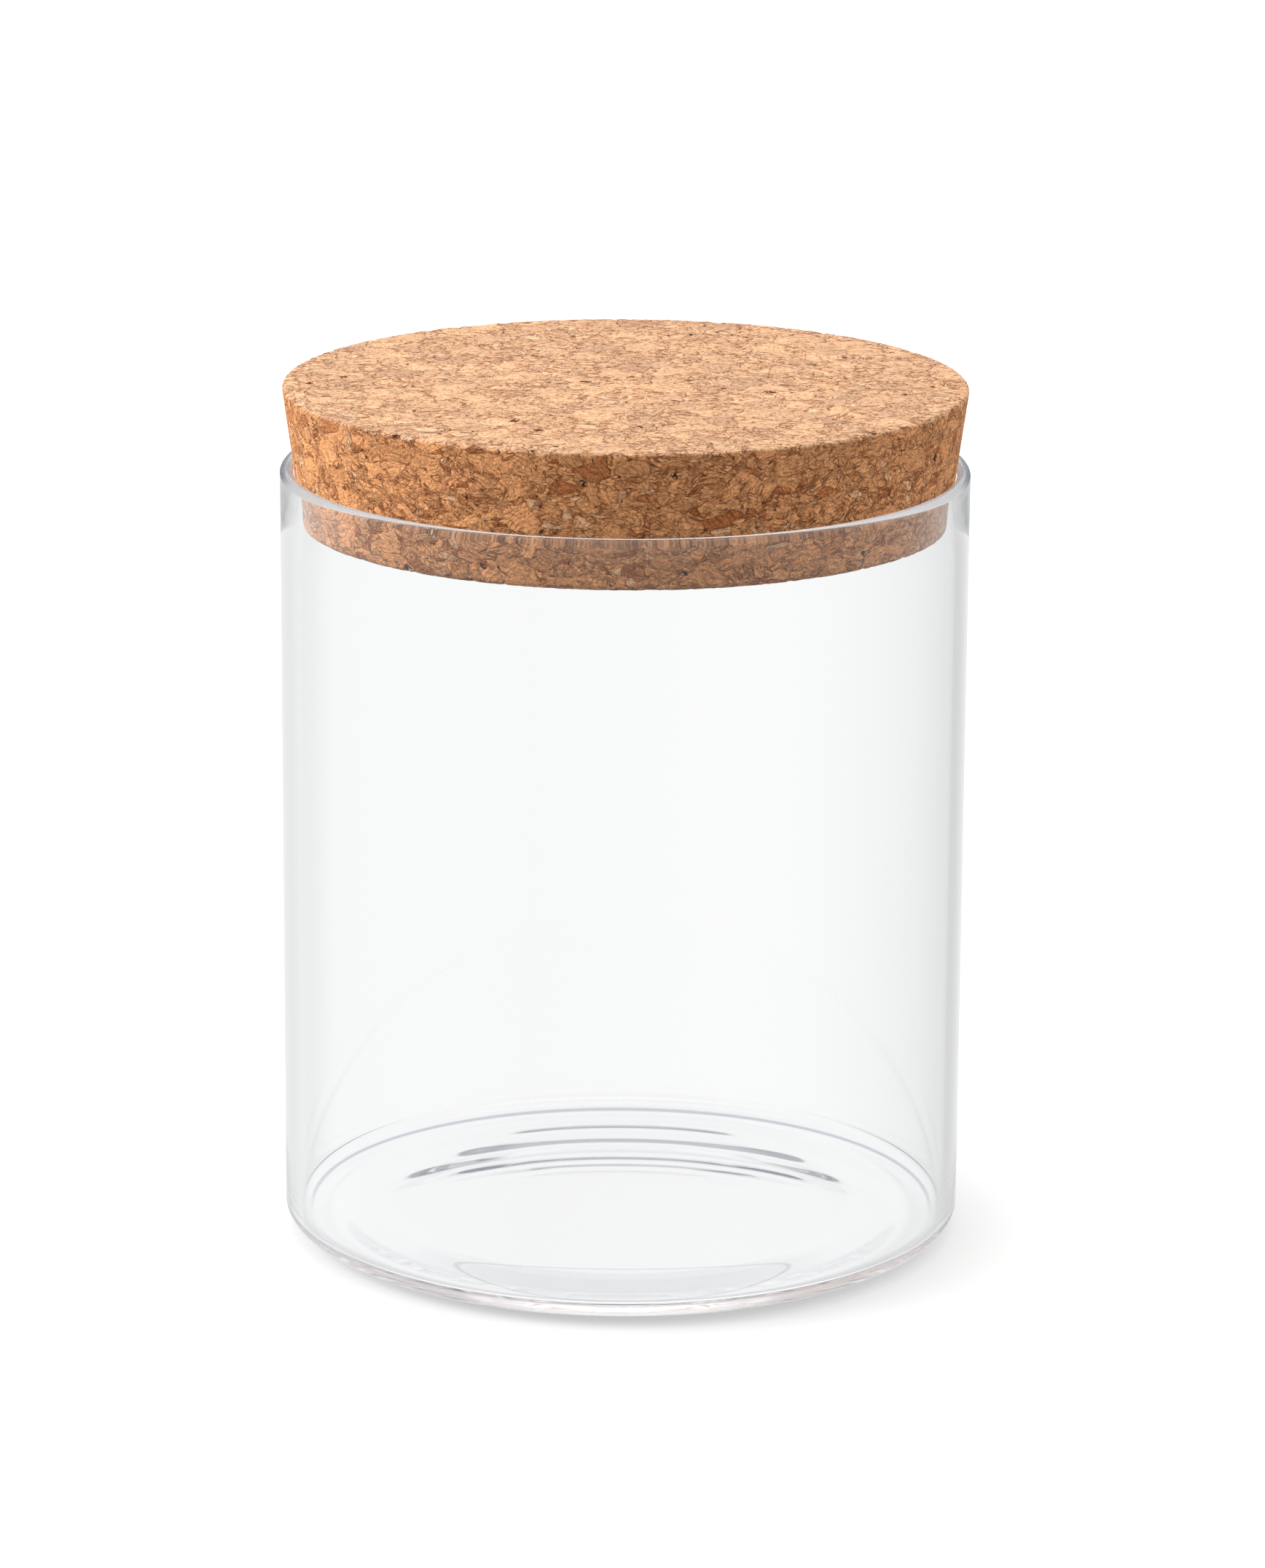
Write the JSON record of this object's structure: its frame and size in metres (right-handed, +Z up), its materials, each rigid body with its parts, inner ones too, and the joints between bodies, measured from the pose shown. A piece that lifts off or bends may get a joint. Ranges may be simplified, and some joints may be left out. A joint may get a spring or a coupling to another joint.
{
  "type": "glass jar with cork lid",
  "caption": "Straight-sided round clear glass storage jar with a rounded rim, closed by a thick tapered lid of pressed cork that lifts out.",
  "frame": {"origin": "centre of the plane that the jar stands on, on the jar's axis", "axes": "+Z up along the jar's axis, towards the lid; X and Y are alike, because jar and lid are turned shapes"},
  "size_m": [0.1, 0.1, 0.1266],
  "materials": {
    "clear_glass": "polished",
    "pressed_cork": "matte"
  },
  "bodies": {
    "jar": {"glass_jar": "clear_glass"},
    "lid": {"cork_lid": "pressed_cork"}
  },
  "joints": [
    {"name": "lid_lift", "type": "slide", "parent": "jar", "child": "lid", "axis": [0, 0, 1], "range_m": [0, 0.12]}
  ]
}
